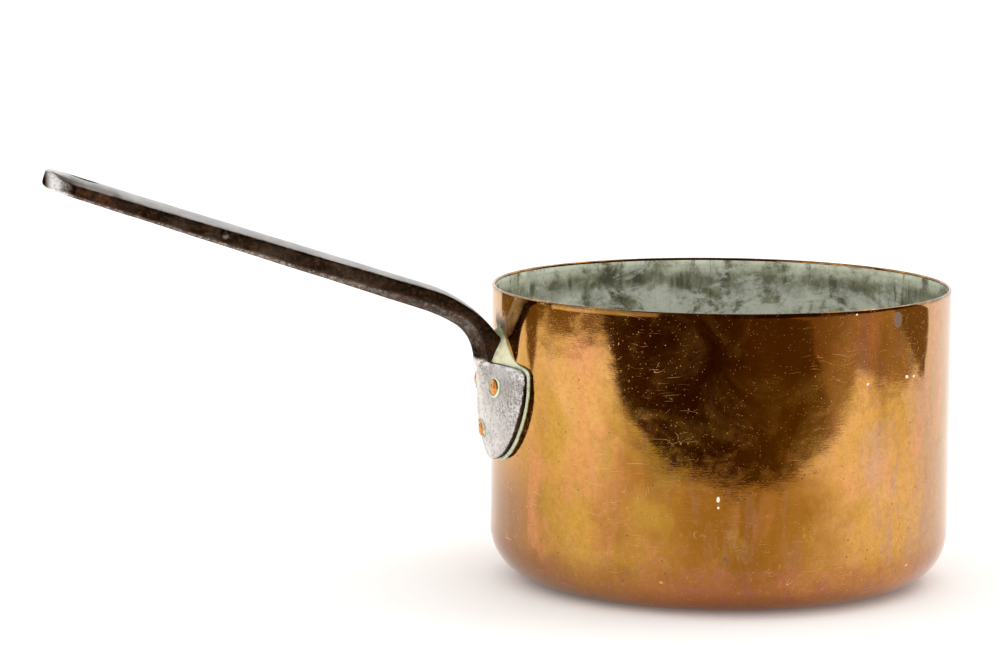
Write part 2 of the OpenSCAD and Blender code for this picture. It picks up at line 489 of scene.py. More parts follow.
def copper_marks(g, around, height, colour):
    """Single marks and one ring stain. Gives the colour, and where the surface is dulled."""
    around_spots = (
        # degrees, height, size, height stretch, colour, strength
        # The angles and heights here (but not the last row's) and of the ring below came from a measuring
        # program.
        (105.6, 0.1268, 0.0008, 0.7, (0.95, 0.88, 0.78), 1.0),
        (109.4, 0.0972, 0.0007, 0.9, (0.95, 0.88, 0.80), 1.0),
        (123.0, 0.0980, 0.0013, 0.6, (0.90, 0.80, 0.70), 0.9),
        (126.0, 0.0978, 0.0009, 0.7, (0.90, 0.80, 0.70), 0.9),
        (71.3, 0.0509, 0.0008, 1.6, (0.93, 0.84, 0.66), 1.0),
        (71.4, 0.0476, 0.0005, 1.2, (0.86, 0.76, 0.58), 1.0),
        (73.2, 0.0258, 0.0008, 1.0, (0.13, 0.09, 0.10), 0.7),
        (57.7, 0.0150, 0.0012, 0.6, (0.80, 0.30, 0.14), 0.8),
        (125.0, 0.0170, 0.0012, 0.5, (0.85, 0.50, 0.32), 0.7),
    )
    wobble = g.noise(420, 4, 0.7)
    dull = 0.0
    for degrees, z, size, tall, tint, strength in around_spots:
        spot = g.times(g.spot(around, height, degrees, z, size, tall, 1.2, wobble), strength)
        colour = g.mix(spot, colour, tint)
        dull = g.larger(dull, spot)
    for size, tint in ((0.0027, (0.13, 0.14, 0.16)), (0.0012, (0.34, 0.14, 0.07))):
        ring = g.times(g.spot(around, height, 119.2, 0.1230, size, 1.3, 0.12, wobble), 0.8)
        colour = g.mix(ring, colour, tint)
        dull = g.larger(dull, g.times(ring, 0.6))
    return colour, dull


def copper_stain(g, around, height, colour, dull):
    """The dark stain on the wall behind the neck."""
    stain = g.times(g.band(height, 0.122, 0.112), g.band(g.unsigned(around), 0.0105, 0.006))
    stain = g.times(stain, g.band(height, 0.092, 0.098))
    stain = g.times(stain, g.band(g.noise(240, 5, 0.7), 0.36, 0.54))
    colour = g.tint(colour, stain, 0.9, (0.055, 0.065, 0.038))
    dull = g.larger(dull, stain)
    return colour, dull


def copper_material():
    """Polished copper, tarnished to gold and brown, with heat tints, fine scratches and specks, and a painted
    dark reflection low near the handle.
    """
    g = Graph("copper_tarnished")
    around, height = g.wall_place()
    wall = g.combine(around, height, 0.0)
    soft = g.noise(20, 3, 0.55, 0.7)
    sway = g.times(g.minus(soft, 0.5), 90 * MM)
    turn = g.plus(around, sway)
    shown = g.times(g.seam(around), g.band(height, 0.0004, 0.0050))
    colour, front = copper_tones(g, around, height, turn)
    colour = copper_tints(g, wall, around, front, shown, colour)
    colour = copper_foot(g, around, height, colour)
    colour = copper_patches(g, around, height, colour)
    colour = copper_mottle(g, height, colour)
    fine = g.noise(1300, 3, 0.6)
    colour = g.tint(colour, g.band(fine, 0.45, 0.75), 0.22, (0.26, 0.10, 0.02))
    colour, specks, pits = copper_specks(g, colour)
    raw = g.larger(specks, copper_scratches(g, around, height, shown))
    colour, dull = copper_marks(g, around, height, colour)
    colour, dull = copper_stain(g, around, height, colour, dull)

    hair = g.noise(1.0, 3, 0.6, 0.0, at=g.stretch(wall, (200, 1700, 1)))
    smears = g.band(g.noise(46, 6, 0.75, 1.0), 0.50, 0.68)
    upper = g.band(height, 0.045, 0.060)
    film = g.times(g.times(g.band(g.noise(38, 6, 0.66, 0.7), 0.44, 0.70), upper), front)
    colour = g.tint(colour, film, 0.30, (0.42, 0.24, 0.050))
    rough = g.blend(g.noise(40, 4, 0.6), 0.03, 0.10)
    rough = g.plus(rough, g.times(smears, 0.10))
    rough = g.plus(rough, g.times(film, 0.08))
    rough = g.plus(rough, g.times(raw, 0.45))
    rough = g.plus(rough, g.times(dull, 0.50))
    colour = g.tint(colour, raw, 0.75, (0.95, 0.58, 0.25))
    metallic = g.minus(1.0, g.times(dull, 0.9))
    metallic = g.minus(metallic, g.times(film, 0.10), clamp=True)
    hair = g.times(hair, shown)
    g.bumps((g.noise(42, 2, 0.4), 0.18 * MM), (g.noise(150, 3, 0.55), 0.020 * MM), (hair, 0.0045 * MM),
            (fine, 0.0016 * MM),
            (g.minus(g.larger(specks, dull), pits), 0.04 * MM))
    return g.surface(Base_Color=colour, Metallic=metallic, Roughness=rough)


def tin_material():
    """Old tin: grey olive, mottled with pale and green verdigris, streaked and smeared."""
    g = Graph("tin_oxidised", Metallic=0.0)
    g.shader.inputs["Specular IOR Level"].default_value = 0.35
    around, height = g.wall_place()
    wall = g.combine(around, height, 0.0)
    on_wall = g.times(g.seam(around), g.band(height, 0.012, 0.034))
    base = g.ramp(g.noise(34, 7, 0.72, 0.25), (0.36, (0.060, 0.058, 0.032)), (0.46, (0.180, 0.178, 0.112)),
                  (0.54, (0.33, 0.34, 0.235)), (0.64, (0.55, 0.58, 0.45)))
    streak = g.noise(1.0, 4, 0.6, 0.4, at=g.stretch(wall, (170, 32, 1)))
    streak = g.times(g.band(streak, 0.50, 0.64), on_wall)
    base = g.tint(base, streak, 0.8, (0.060, 0.060, 0.032))
    green = g.band(g.noise(24, 6, 0.70, 0.3), 0.52, 0.64)
    base = g.tint(base, green, 0.45, (0.27, 0.32, 0.19))
    near_rim = g.band(height, PAN_H - 0.0085, PAN_H - 0.0045)
    near_rim = g.times(near_rim, g.band(g.noise(70, 7, 0.8), 0.40, 0.56))
    base = g.tint(base, near_rim, 0.75, (0.62, 0.66, 0.50))
    fern = g.noise(1.0, 7, 0.75, 0.6, at=g.stretch(wall, (46, 80, 1), tilted(30)))
    fern = g.times(fern, on_wall)
    low_fern = g.plus(g.times(g.band(fern, 0.42, 0.55), g.band(height, 0.1185, 0.1130)),
                      g.times(g.band(fern, 0.52, 0.62), 0.8), clamp=True)
    base = g.tint(base, low_fern, 0.8, (0.62, 0.65, 0.56))
    lift = g.times(g.minus(g.noise(55, 6, 0.75), 0.5), 0.020)
    belt_height = g.plus(height, lift)
    belt = g.times(g.band(belt_height, 0.1090, 0.1150), g.band(belt_height, 0.1245, 0.1190))
    patchy = g.band(g.noise(75, 6, 0.75, 0.5), 0.38, 0.60)
    base = g.tint(base, g.times(belt, patchy), 0.50, (0.085, 0.083, 0.047))
    drips = g.noise(1.0, 5, 0.7, 0.3, at=g.stretch(wall, (330, 45, 1)))
    drips = g.times(g.band(drips, 0.54, 0.62), g.band(g.noise(18, 3), 0.46, 0.60))
    drips = g.times(drips, on_wall)
    base = g.tint(base, drips, 0.75, (0.045, 0.045, 0.024))
    grain = g.noise(620, 4, 0.6)
    base = g.tint(base, g.band(grain, 0.5, 0.8), 0.35, (0.09, 0.09, 0.05))
    rough = g.blend(g.noise(45, 4), 0.45, 0.80)
    g.bumps((g.noise(30, 6, 0.65), 0.25 * MM), (grain, 0.05 * MM))
    return g.surface(Base_Color=base, Roughness=rough)


def iron_tones(g, facing, skin, ragged, distance, shield, tip, rubbed_and_lit):
    """Near black where the forge scale is left, grey or pale where hands have rubbed it. The rubbed mask
    follows the way each face turns, so the grey tops and dark sides are partly painted light, and the lighter
    undersides are painted reflection.
    """
    black = g.ramp(skin, (0.36, (0.028, 0.015, 0.007)), (0.52, (0.066, 0.045, 0.031)),
                   (0.66, (0.138, 0.106, 0.084)))
    # Painted reflection: faces turned down are lightened towards grey.
    under = g.band(g.plus(facing[2], ragged), -0.25, -0.75)
    black = g.tint(black, under, 0.7, (0.19, 0.165, 0.15))
    grey = g.ramp(skin, (0.34, (0.29, 0.28, 0.272)), (0.52, (0.39, 0.378, 0.368)),
                  (0.68, (0.50, 0.485, 0.47)))
    pale = g.ramp(skin, (0.34, (0.52, 0.49, 0.475)), (0.52, (0.68, 0.645, 0.625)), (0.68, (0.79, 0.75, 0.72)))
    grey = g.mix(g.larger(shield, tip), grey, pale)
    sooty = g.times(g.band(distance, 0.170, 0.130), 0.45)
    black = g.mix(sooty, black, (0.020, 0.012, 0.006))
    base = g.mix(rubbed_and_lit, black, grey)
    # A near-white patch on the tip's end.
    white_tip_patch = g.times(g.times(tip, g.band(g.noise(330, 4, 0.7), 0.36, 0.52)),
                  g.band(facing[2], 0.45, 0.15))
    base = g.mix(white_tip_patch, base, (0.92, 0.91, 0.89))
    return base


def iron_worn(g, y, z, distance, facing, shield, upward, fine, base):
    """Bright corner and ledge on the flange, partly wear and partly painted highlight, worn dots underneath,
    and darker grain.
    """
    # Painted highlight on the flange's worn top corner and ledge.
    corner = g.times(g.band(y, -0.0205, -0.0240), g.band(z, 0.0915, 0.0950))
    corner = g.times(g.times(corner, shield), g.band(g.noise(420, 5, 0.7), 0.42, 0.52))
    base = g.mix(corner, base, (0.96, 0.93, 0.89))
    ledge = g.times(g.times(g.band(z, 0.0962, 0.0974), shield), g.band(g.noise(260, 5, 0.7), 0.40, 0.50))
    base = g.tint(base, ledge, 0.8, (0.92, 0.89, 0.86))
    worn_dots = g.times(g.band(g.noise(480, 6, 0.8), 0.48, 0.56), g.band(facing[2], -0.15, -0.50))
    worn_dots = g.times(worn_dots, g.blend(g.band(distance, 0.150, 0.180), 0.40, 1.0))
    base = g.tint(base, worn_dots, 0.8, (0.50, 0.455, 0.42))
    darker = g.times(g.band(fine, 0.50, 0.66), g.blend(upward, 0.40, 0.12))
    base = g.mix(darker, base, (0.10, 0.085, 0.075))
    return base


def iron_pits(g, y, upward):
    """Small pits, thickest towards the flange's -Y edge."""
    pit_distance, pit_colour = g.cells(1250)
    peppered = g.plus(g.band(g.noise(110, 4, 0.6), 0.40, 0.64), g.band(y, -0.016, -0.028), clamp=True)
    pitted = g.math("GREATER_THAN", g.split(pit_colour)[0], 0.55)
    pits = g.times(g.times(g.band(pit_distance, 0.50, 0.22), pitted), peppered)
    grit = g.times(g.band(g.noise(780, 5, 0.8), 0.50, 0.60), peppered)
    pits = g.times(g.larger(pits, g.times(grit, 0.75)), g.blend(upward, 1.0, 0.25))
    return pits


def iron_rust(g, distance, upward, rubbed_and_lit):
    """Rust near the eye, and freckles away from the rubbed and painted-lit faces."""
    rust_place = g.times(g.band(distance, 0.238, 0.274), g.band(distance, 0.294, 0.282))
    rust_edge = g.plus(g.times(rust_place, 0.45), g.noise(520, 6, 0.8, 0.3))
    rust = g.times(rust_place, g.band(rust_edge, 0.89, 1.04))
    rust = g.times(rust, g.minus(1.0, g.times(upward, 0.85)))
    freckle = g.times(g.band(g.noise(460, 6, 0.8), 0.50, 0.58), 0.50)
    rust = g.larger(rust, g.times(freckle, g.minus(1.0, rubbed_and_lit)))
    return rust


def iron_eye(g, y, z, distance, base):
    """Painted shade on the wall of the hanging hole and round its edge."""
    eye_u, eye_z = to_plane(BAR_LEN - EYE_INSET, 0)
    aside = g.minus(distance, eye_u)
    above = g.minus(z, eye_z)
    along = g.plus(g.times(aside, math.cos(BAR_SLOPE)), g.times(above, math.sin(BAR_SLOPE)))
    reach = g.math("SQRT", g.plus(g.times(along, along), g.times(y, y)))
    return g.mix(g.band(reach, EYE_R + 0.7 * MM, EYE_R + 0.2 * MM), base, (0.020, 0.014, 0.010))


def iron_material():
    """Forged iron: a grey satin on top and on the flange and near black on its sides, partly rubbing and
    partly painted light by the way each face turns, some rust.
    """
    g = Graph("iron_forged")
    x, y, z = g.split(g.place)
    distance = g.times(x, -1.0)
    facing = g.split(g.node("ShaderNodeNewGeometry").outputs["Normal"])
    skin = g.noise(70, 5, 0.62)
    fine = g.noise(700, 4, 0.65)
    ragged = g.times(g.minus(g.noise(160, 5, 0.7), 0.5), 0.9)

    # Faces turned up, and the flange's face turned outwards, count as rubbed: partly wear, partly painted
    # light that keeps the tops grey and the sides dark.
    upward = g.band(g.plus(facing[2], ragged), 0.30, 0.80)
    shield = g.times(g.band(z, 0.1005, 0.0985), g.band(distance, 0.120, 0.114))
    outward = g.band(facing[0], -0.45, -0.75)
    shield = g.times(shield, outward)
    tip = g.times(g.band(distance, 0.286, 0.290), g.band(distance, 0.2966, 0.2940))
    rubbed_and_lit = g.larger(g.larger(upward, shield), tip)

    base = iron_tones(g, facing, skin, ragged, distance, shield, tip, rubbed_and_lit)
    base = iron_worn(g, y, z, distance, facing, shield, upward, fine, base)
    pits = iron_pits(g, y, upward)
    base = g.tint(base, pits, 0.75, (0.055, 0.045, 0.040))
    rust = iron_rust(g, distance, upward, rubbed_and_lit)
    base = g.tint(base, rust, 0.80, (0.135, 0.040, 0.011))
    # Painted highlight: the blister gets a lighter spot.
    blister = g.node("ShaderNodeVectorMath", operation="DISTANCE")
    g.join(g.place, blister.inputs[0])
    g.join(blister_place(), blister.inputs[1])
    base = g.mix(g.band(blister.outputs["Value"], BLISTER_R, 0.6 * BLISTER_R), base, (0.18, 0.165, 0.13))
    base = iron_eye(g, y, z, distance, base)

    metallic = g.minus(1.0, g.times(rust, 0.7))
    rough = g.blend(skin, 0.24, 0.38)
    rough = g.plus(rough, g.times(g.larger(rust, pits), 0.25))
    g.bumps((g.noise(90, 4, 0.5), 0.10 * MM), (fine, 0.025 * MM), (g.minus(1.0, pits), 0.05 * MM))
    # Where this mask is off, grazing reflections are tinted dark: part of the same painted light.
    grazing = g.mix(rubbed_and_lit, (0.22, 0.20, 0.18), (1.0, 1.0, 1.0))
    return g.surface(Base_Color=base, Metallic=metallic, Roughness=rough, Specular_Tint=grazing)


def rivet_material():
    """Bright rubbed copper, redder than the pan."""
    g = Graph("copper_rivet", Metallic=1.0)
    tone = g.noise(420, 4, 0.6)
    colour = g.ramp(tone, (0.30, (0.50, 0.19, 0.050)), (0.52, (0.66, 0.27, 0.075)),
                    (0.72, (0.80, 0.37, 0.13)))
    rough = g.blend(g.noise(700, 3), 0.12, 0.24)
    g.bumps((g.noise(260, 2), 0.012 * MM), (g.noise(1900, 2), 0.0015 * MM))
    return g.surface(Base_Color=colour, Roughness=rough)


def verdigris_material():
    """Chalky pale green copper salt, yellower and dirtier in the deep parts."""
    g = Graph("verdigris", Metallic=0.0)
    g.shader.inputs["Specular IOR Level"].default_value = 0.2
    clump = g.noise(260, 5, 0.65)
    colour = g.ramp(clump, (0.32, (0.40, 0.50, 0.33)), (0.46, (0.66, 0.78, 0.58)), (0.64, (0.78, 0.87, 0.70)))
    around, height = g.wall_place()
    from_neck = g.unsigned(around)
    deep = g.times(g.band(from_neck, 0.026, 0.014), g.band(height, 0.096, 0.098))
    colour = g.tint(colour, deep, 0.85, (0.84, 0.80, 0.54))
    dirt = g.times(g.band(g.noise(230, 6, 0.75), 0.40, 0.66), g.band(from_neck, 0.017, 0.007))
    colour = g.tint(colour, dirt, 0.6, (0.34, 0.32, 0.15))
    high_up = g.times(g.band(height, 0.1035, 0.1095), g.band(g.noise(300, 5, 0.7), 0.30, 0.60))
    colour = g.tint(colour, high_up, 0.8, (0.15, 0.19, 0.10))
    rough = g.blend(clump, 0.75, 0.95)
    g.bumps((clump, 0.20 * MM), (g.noise(1500, 4, 0.6), 0.05 * MM))
    return g.surface(Base_Color=colour, Roughness=rough)


def floor_material():
    """Warm white paper."""
    g = Graph("studio_floor", Roughness=0.75)
    g.shader.inputs["Emission Color"].default_value = (1.0, 0.985, 0.97, 1.0)
    g.shader.inputs["Emission Strength"].default_value = 0.12
    tone = g.ramp(g.noise(6, 4), (0.3, (0.90, 0.875, 0.85)), (0.7, (0.92, 0.90, 0.88)))
    return g.surface(Base_Color=tone)


# ---------------------------------------------------------------- pieces

def pan_half(r, corner, low, top):
    """Outer profile of a vessel from the middle of its base up its wall to the height top."""
    flat = r - corner
    points = [(0.0, low)] + line((0, low), (flat, low), 12)
    points += arc(flat, low + corner, corner, -90, 0, 24)[1:]
    points += line((r, low + corner), (r, top), 44)
    return points


def ripple(verts, depth, size):
    """Moves points in and out a little, never past their own radius, as hand-planished sheet does."""
    for v in verts:
        r = math.hypot(v.x, v.y)
        if r > 0.02:
            away = (noise.noise(Vector(v) / size) - 1.0) * depth * min(1.0, (r - 0.02) / 0.03)
            v.x += v.x / r * away
            v.y += v.y / r * away


def make_pan(material):
    """The copper body: outer skin, rounded rim and the inner skin behind the tin."""
    lip = COPPER_T / 2
    outer = pan_half(PAN_R, CORNER_R, 0.0, PAN_H - lip)
    rim = arc(PAN_R - lip, PAN_H - lip, lip, 0, 180, 8)[1:]
    inner = pan_half(LINED_R, CORNER_R - COPPER_T, COPPER_T, PAN_H - lip)[::-1]
    verts, faces = lathe(outer + rim + inner[1:], 288)
    ripple(verts, 0.10 * MM, 34 * MM)
    return new_piece("pan_copper", verts, faces, material)


def make_tin(material):
    """The tin coat, a thin closed skin over the whole inside that stops just under the rim."""
    top = PAN_H - 1.1 * MM
    outer = pan_half(LINED_R - 0.03 * MM, CORNER_R - COPPER_T, COPPER_T + 0.03 * MM, top)
    inner = pan_half(LINED_R - TIN_T, CORNER_R - COPPER_T - TIN_T, COPPER_T + TIN_T, top)[::-1]
    verts, faces = lathe(outer + inner, 288)
    ripple(verts, 0.10 * MM, 34 * MM)
    return new_piece("tin_coat", verts, faces, material)


def neck_sides(steps):
    """Matching points down the pan's side and the outer side of the neck, from the bar to the flange."""
    inner, outer = [], []
    for i in range(1, steps + 1):
        a = INNER_TURN * i / steps
        inner.append(to_plane(-BEND_LEAD - INNER_BEND_R * math.sin(a),
                              BAR_T_NECK / 2 - INNER_BEND_R * (1 - math.cos(a))))
    slow_steps = steps // 2
    s, n = -BEND_LEAD, -BAR_T_NECK / 2
    for i in range(1, slow_steps + 1):
        a = OUTER_TURN * i / slow_steps
        outer.append(to_plane(s - OUTER_BEND_R * math.sin(a), n - OUTER_BEND_R * (1 - math.cos(a))))
    s -= (OUTER_BEND_R - ELBOW_R) * math.sin(OUTER_TURN)
    n -= (OUTER_BEND_R - ELBOW_R) * (1 - math.cos(OUTER_TURN))
    for i in range(1, steps - slow_steps + 1):
        a = OUTER_TURN + ELBOW_TURN * i / (steps - slow_steps)
        outer.append(to_plane(s - ELBOW_R * math.sin(a), n - ELBOW_R * (1 - math.cos(a))))
    return inner, outer


def bar_section(inner, outer, half_w, crown, bevel, flat=0.0):
    """One closed section of the bar: crowned towards the inner point, bevelled at the outer one."""
    top, foot = Vector((-inner[0], 0, inner[1])), Vector((-outer[0], 0, outer[1]))
    up = (top - foot).normalized()
    side = Vector((0, 1, 0))
    points = []
    crown_steps = 12
    for i in range(crown_steps + 1):
        y = half_w * (1 - 2 * i / crown_steps)
        level = min(flat, 0.5 * half_w)
        points.append(top + side * y - up * crown * (max(0.0, abs(y) - level) / (half_w - level)) ** 2)
    slant = bevel * 0.9
    underside = (
        (-half_w, bevel), (slant - half_w, 0.0), (0.0, -0.3 * MM), (half_w - slant, 0.0), (half_w, bevel)
    )
    for y, n in underside:
        points.append(foot + side * y + up * n)
    return points


def bar_stations():
    """(inner point, outer point, half width, crown, bevel) from the tip of the bar to the flange."""
    stations = []
    eye_r = BAR_W_EYE / 2
    bar_steps = 60
    eye_steps = 14
    distances = [
        BAR_LEN - eye_r * (1 - math.cos(math.pi / 2 * i / eye_steps)) for i in range(eye_steps + 1)
    ]
    distances += [(BAR_LEN - eye_r) * (1 - i / bar_steps) for i in range(1, bar_steps + 1)]
    for s in distances:
        half_t = (BAR_T_NECK + (BAR_T_TIP - BAR_T_NECK) * s / BAR_LEN) / 2
        full_w = (BAR_W_NECK + (BAR_W_EYE - BAR_W_NECK) * min(1.0, s / (BAR_LEN - eye_r))) / 2
        past_centre = max(0.0, s - (BAR_LEN - eye_r))
        half_w = max(full_w * math.sqrt(max(0.0, 1 - (past_centre / eye_r) ** 2)), 1.0 * MM)
        crown = half_w ** 2 / (2 * CROWN_R)
        bevel = (0.9 + 2.4 * math.exp(-s / (35 * MM))) * MM
        if past_centre > 0:
            half_t *= 1 - 0.10 * (past_centre / eye_r) ** 3 - 0.28 * (past_centre / eye_r) ** 24
        flat = 5.5 * MM * clamped((s - 118 * MM) / (18 * MM))
        worn = half_t * (1 - 0.30 * (past_centre / eye_r) ** 8)
        stations.append((to_plane(s, half_t), to_plane(s, -worn), half_w, crown, bevel, flat))
    steps = 20
    inner, outer = neck_sides(steps)
    for i, (a, b) in enumerate(zip(inner, outer)):
        share = (i + 1) / steps
        half_w = BAR_W_NECK / 2
        crown = half_w ** 2 / (2 * CROWN_R) * (1 - 0.6 * share)
        bevel = (3.3 + 1.2 * share) * MM
        stations.append((a, b, half_w, crown, bevel))
    gap_u = PAN_R + NECK_GAP
    last_inner = inner[-1]
    gap_z = last_inner[1] - (last_inner[0] - gap_u) * math.tan(BAR_SLOPE + INNER_TURN)
    foot_u, foot_z = outer[-1]
    inner_end_z, outer_end_z, tuck = 93 * MM, 90 * MM, 5.5 * MM
    steps = 6
    for i in range(1, steps + 1):
        share = i / steps
        inner_point = (last_inner[0] + (gap_u - last_inner[0]) * min(1.0, 2 * share),
                       last_inner[1] + (gap_z - last_inner[1]) * min(1.0, 2 * share)
                       + (inner_end_z - gap_z) * max(0.0, 2 * share - 1))
        outer_point = (foot_u - tuck * share ** 1.5, foot_z + (outer_end_z - foot_z) * share)
        stations.append((inner_point, outer_point, BAR_W_NECK / 2 * (1 - 0.25 * share), 0.2 * MM, 4.5 * MM))
    return stations


def make_bar():
    """The eye end, bar and neck as one closed loft, with the hanging hole cut through it."""
    verts, faces = [], []
    stations = bar_stations()
    for station in stations:
        verts += bar_section(*station)
    count = len(verts) // len(stations)
    for k in range(len(stations) - 1):
        for i in range(count):
            j = (i + 1) % count
            faces.append([k * count + i, k * count + j, (k + 1) * count + j, (k + 1) * count + i])
    faces.append(list(range(count)))
    faces.append(list(range(len(verts) - count, len(verts))))
    bar = new_piece("bar", verts, faces)
    u, z = to_plane(BAR_LEN - EYE_INSET, 0)
    past = 15 * MM
    hole_verts, hole_faces = lathe([(0, -past), (EYE_R, -past), (EYE_R, past), (0, past)], 64)
    turn = Matrix.Translation((-u, 0, z)) @ Matrix.Rotation(BAR_SLOPE, 4, "Y")
    hole = new_piece("hole", [turn @ v for v in hole_verts], hole_faces)
    apply_modifier(bar, "BOOLEAN", object=hole, operation="DIFFERENCE", solver="EXACT")
    bpy.data.objects.remove(hole)
    return bar


def shield_reach(angle, grow=0.0):
    """Distance from the middle of the shield to its edge in a direction, in the plane of y and z."""
    cy, cz = math.cos(angle), math.sin(angle)
    middle_z = DOME_Z
    reaches = []
    for centre_y in (-SHIELD_POINT, SHIELD_POINT):
        dy, dz = -centre_y, middle_z - SHIELD_Z
        along = dy * cy + dz * cz
        reaches.append(-along + math.sqrt(along ** 2 - dy ** 2 - dz ** 2 + SHIELD_R ** 2))
    if cz > 0.05:
        reaches.append((SHIELD_TOP - middle_z) / cz)
    sharp = 13
    scale = min(reaches)
    return scale * sum((r / scale) ** -sharp for r in reaches) ** (-1 / sharp) + grow


def face_u(y, z):
    """Distance u of the flange's outer face: a dome, fuller down its middle and rising into the neck."""
    rise_from = 78 * MM
    dome = DOME_U + math.sqrt(DOME_R ** 2 - y ** 2 - (z - DOME_Z) ** 2)
    rise = clamped((z - rise_from) / (SHIELD_TOP - rise_from)) ** 1.85
    full = 1.3 * math.exp(-(y / (14 * MM)) ** 2) + 3.4 * rise * math.exp(-(y / (8.8 * MM)) ** 4)
    return dome + full * MM


def side_share(angle):
    """How much of a sideways edge the shield has in a direction: 0 at its top and tip, 1 at its sides."""
    upper = clamped((math.sin(angle) - 0.36) / 0.26)
    return math.cos(angle) ** 2 * (1 - upper) + 0.25 * upper


def make_flange():
    """The shield-shaped flange: domed outside, hollowed behind to fit the wall, with undercut edges."""
    steps, rings = 120, 14
    # In mm: how far the side edges are cut in, in front and behind, and how the front edge rolls off
    front_in, front_out, back_in, roll = 2.4, 0.9, 4.2, 1.9
    front, back = [], []
    for ring in range(rings + 1):
        share = math.sin(math.pi / 2 * ring / rings)
        for i in range(steps):
            a = math.tau * i / steps
            wave = 0.2 * MM * ring_noise(a, 0.3, 2.5)
            side = side_share(a)
            reach = (shield_reach(a) + wave - (front_in * side - front_out) * MM) * share
            y, z = reach * math.cos(a), DOME_Z + reach * math.sin(a)
            front.append(Vector((roll * MM * side * share ** 6 - face_u(y, z), y, z)))
            reach = (shield_reach(a) + wave - (back_in * side + 0.1) * MM) * share
            y, z = reach * math.cos(a), DOME_Z + reach * math.sin(a)
            back.append(at_radius(PAN_R - 0.3 * MM, y, z))
    verts = front + back
    shift = len(front)
    faces = []
    for ring in range(rings):
        for i in range(steps):
            j = (i + 1) % steps
            quad = [ring * steps + i, ring * steps + j, (ring + 1) * steps + j, (ring + 1) * steps + i]
            faces.append(quad)
            faces.append([k + shift for k in reversed(quad)])
    edge = rings * steps
    for i in range(steps):
        j = (i + 1) % steps
        faces.append([edge + i, edge + j, edge + j + shift, edge + i + shift])
    return new_piece("flange", verts, faces)


def blister_place():
    """The middle of the blister, on the side of the bar that faces -Y."""
    u, z = to_plane(BLISTER_S, 0)
    half_w = (BAR_W_NECK + (BAR_W_EYE - BAR_W_NECK) * BLISTER_S / (BAR_LEN - BAR_W_EYE / 2)) / 2
    return Vector((-u, -half_w, z))


def make_handle(material):
    """One forging: the bar and the flange are fused, and the arrises are worn round."""
    bar, flange = make_bar(), make_flange()
    bm = bmesh.new()
    bm.from_mesh(bar.data)
    bm.from_mesh(flange.data)
    handle = bpy.data.objects.new("handle_iron", bpy.data.meshes.new("handle_iron"))
    bm.to_mesh(handle.data)
    bm.free()
    bpy.context.scene.collection.objects.link(handle)
    for part in (bar, flange):
        bpy.data.objects.remove(part)
    voxel = 0.55 * MM
    apply_modifier(handle, "REMESH", mode="VOXEL", voxel_size=voxel)
    apply_modifier(handle, "SMOOTH", factor=0.5, iterations=5)
    mesh = handle.data
    blister = blister_place()
    moved = []
    for v in mesh.vertices:
        dent = noise.noise(v.co * 60) * 0.12 * MM + noise.noise(v.co * 190) * 0.05 * MM
        away = (v.co - blister).length
        if away < BLISTER_R:
            dent += BLISTER_H * (1 - (away / BLISTER_R) ** 2)
        moved.extend(v.co + v.normal * dent)
    mesh.vertices.foreach_set("co", moved)
    mesh.polygons.foreach_set("use_smooth", [True] * len(mesh.polygons))
    mesh.materials.clear()
    mesh.materials.append(material)
    return handle


def face_reach(angle, z):
    """Radius of the flange's outer face at an angle from the handle and a height."""
    r = PAN_R + 6 * MM
    for _ in range(8):
        r = face_u(r * math.sin(angle), z) / math.cos(angle)
    return r


def rivet_place(angle, z):
    """Turns a shape made along Z to a rivet's direction, and lifts it to its height."""
    lifted = Matrix.Translation((0, 0, z)) @ Matrix.Rotation(-math.pi / 2, 4, "Y")
    return Matrix.Rotation(angle, 4, "Z") @ lifted


def loop_faces(steps, section):
    """Faces of a closed tube: steps sections along it, with section points in each."""
    faces = []
    for i in range(steps):
        for k in range(section):
            j, m = (i + 1) % steps, (k + 1) % section
            faces.append([i * section + k, j * section + k, j * section + m, i * section + m])
    return faces


def make_rivet(name, angle, z, material, seed):
    """A hand-set rivet: flattened tail inside, shank, and a slightly lopsided domed head outside."""
    face = face_reach(angle, z)
    inside = LINED_R - TIN_T
    tail = inside - TAIL_H
    profile = [(0, tail), (TAIL_R * 0.55, tail + 0.05 * MM), (TAIL_R * 0.86, tail + 0.2 * MM),
               (TAIL_R, tail + 0.55 * MM), (TAIL_R * 0.97, inside + 0.1 * MM), (SHANK_R, inside + 0.15 * MM),
               (SHANK_R, face - 0.7 * MM), (HEAD_R * 0.98, face - 0.6 * MM), (HEAD_R, face)]
    profile += [(HEAD_R * math.cos(a), face + HEAD_H * math.sin(a))
                for a in (math.radians(9 * i) for i in range(1, 10))] + [(0, face + HEAD_H)]
    verts, faces = lathe(profile, 48)
    place = rivet_place(angle, z)
    for v in verts:
        if v.z > face - 0.65 * MM:
            squash = 1 + 0.05 * noise.noise(Vector((v.x * 180, v.y * 180, seed)))
            v.x, v.y = v.x * squash, v.y * squash
            v.z += 0.02 * MM * noise.noise(Vector((v.x * 260, v.y * 260, seed + 4.0)))
    return new_piece(name + "_copper", [place @ v for v in verts], faces, material)


def make_bead(material):
    """The line of verdigris on the wall round the edge of the flange."""
    steps, section = 260, 8
    verts = []
    for i in range(steps):
        a = math.tau * i / steps
        ripple_here = ring_noise(a, 1.7, 7)
        fine = ring_noise(a, 5.1, 28)
        half = (1.0 + 0.20 * ripple_here + 0.12 * fine) * MM
        tall = (0.9 + 0.2 * fine) * MM
        reach = shield_reach(a, (0.5 - 4.4 * side_share(a) + 0.2 * ripple_here) * MM)
        for k in range(section):
            b = math.tau * k / section
            out = reach + half * math.cos(b)
            y, z = out * math.cos(a), DOME_Z + out * math.sin(a)
            r = PAN_R + tall * math.sin(b)
            verts.append(at_radius(r, y, z))
    return new_piece("verdigris_bead", verts, loop_faces(steps, section), material)


